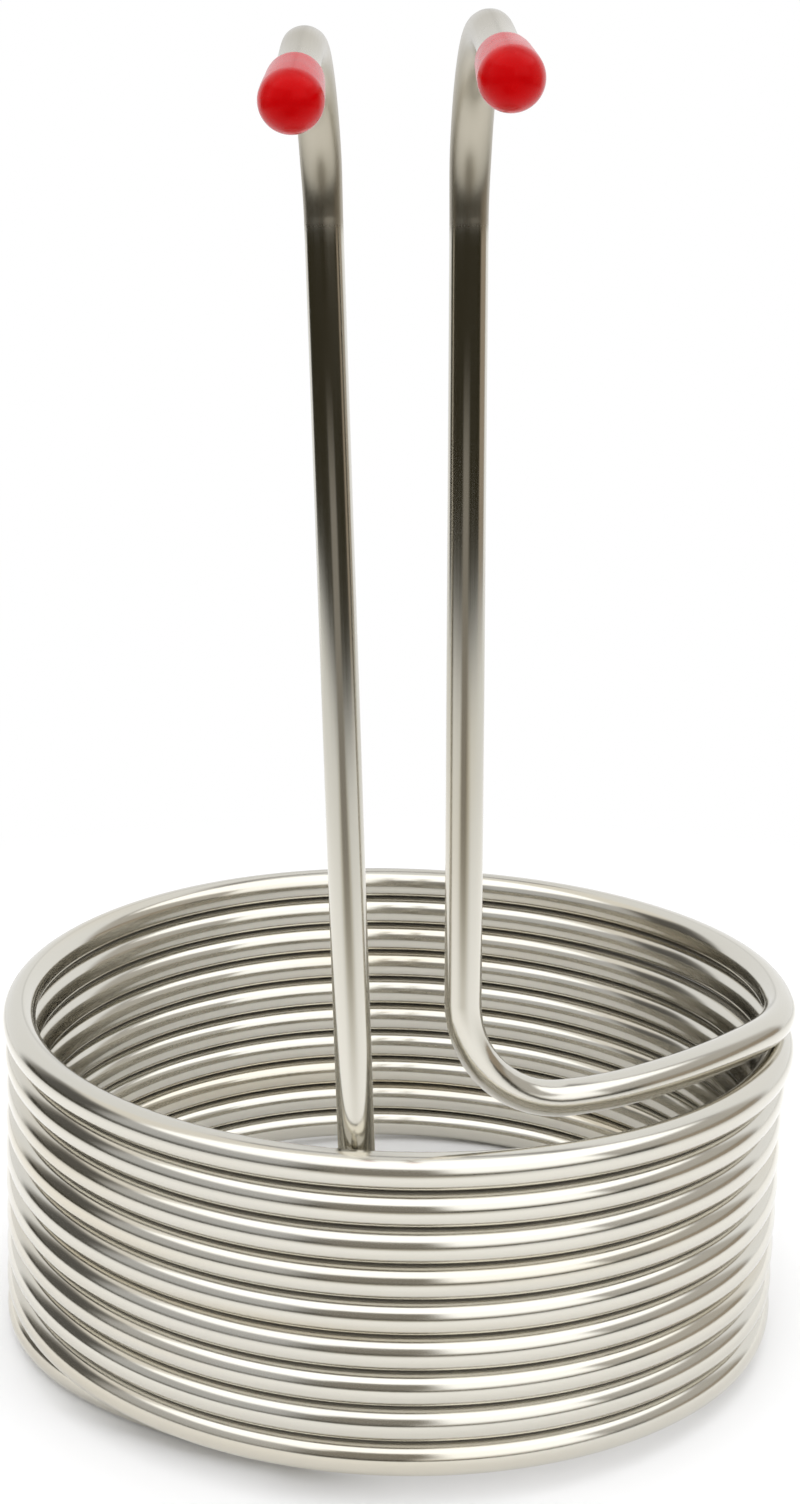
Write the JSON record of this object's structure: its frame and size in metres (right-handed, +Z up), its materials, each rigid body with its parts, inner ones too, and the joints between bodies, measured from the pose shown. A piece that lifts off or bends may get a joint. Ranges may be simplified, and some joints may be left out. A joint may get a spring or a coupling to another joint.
{
  "type": "immersion wort chiller",
  "caption": "Free-standing coil of stainless tube that cools hot liquid it stands in, with two capped goosenecks for water hoses.",
  "frame": {"origin": "on the floor under the middle of the coil, where the coil's axis meets the plane of its foot", "axes": "+Z up, along the coil's axis to within its small lean; -Y towards the goosenecks' open ends; +X towards the outlet riser"},
  "size_m": [0.2317, 0.3012, 0.3719],
  "materials": {
    "stainless_tube": "bright drawn, polished",
    "red_vinyl": "glossy"
  },
  "bodies": {
    "tube": {"coil_turn_01_left": "stainless_tube", "coil_turn_01_right": "stainless_tube", "coil_turn_02_left": "stainless_tube", "coil_turn_02_right": "stainless_tube", "coil_turn_03_left": "stainless_tube", "coil_turn_03_right": "stainless_tube", "coil_turn_04_left": "stainless_tube", "coil_turn_04_right": "stainless_tube", "coil_turn_05_left": "stainless_tube", "coil_turn_05_right": "stainless_tube", "coil_turn_06_left": "stainless_tube", "coil_turn_06_right": "stainless_tube", "coil_turn_07_left": "stainless_tube", "coil_turn_07_right": "stainless_tube", "coil_turn_08_left": "stainless_tube", "coil_turn_08_right": "stainless_tube", "coil_turn_09_left": "stainless_tube", "coil_turn_09_right": "stainless_tube", "coil_turn_10_left": "stainless_tube", "coil_turn_10_right": "stainless_tube", "inlet_lead_in": "stainless_tube", "inlet_lead": "stainless_tube", "inlet_elbow": "stainless_tube", "inlet_riser": "stainless_tube", "inlet_gooseneck": "stainless_tube", "inlet_spout": "stainless_tube", "outlet_lead_in": "stainless_tube", "outlet_lead": "stainless_tube", "outlet_lead_out": "stainless_tube", "outlet_elbow": "stainless_tube", "outlet_riser": "stainless_tube", "outlet_gooseneck": "stainless_tube", "outlet_spout": "stainless_tube"},
    "inlet_cap": {"inlet_cap": "red_vinyl"},
    "outlet_cap": {"outlet_cap": "red_vinyl"}
  },
  "joints": [
    {"name": "inlet_cap_pull", "type": "slide", "parent": "tube", "child": "inlet_cap", "axis": [-0.0258, -0.9476, -0.3184], "range_m": [0, 0.06]},
    {"name": "outlet_cap_pull", "type": "slide", "parent": "tube", "child": "outlet_cap", "axis": [0.0613, -0.9609, -0.2699], "range_m": [0, 0.06]}
  ]
}
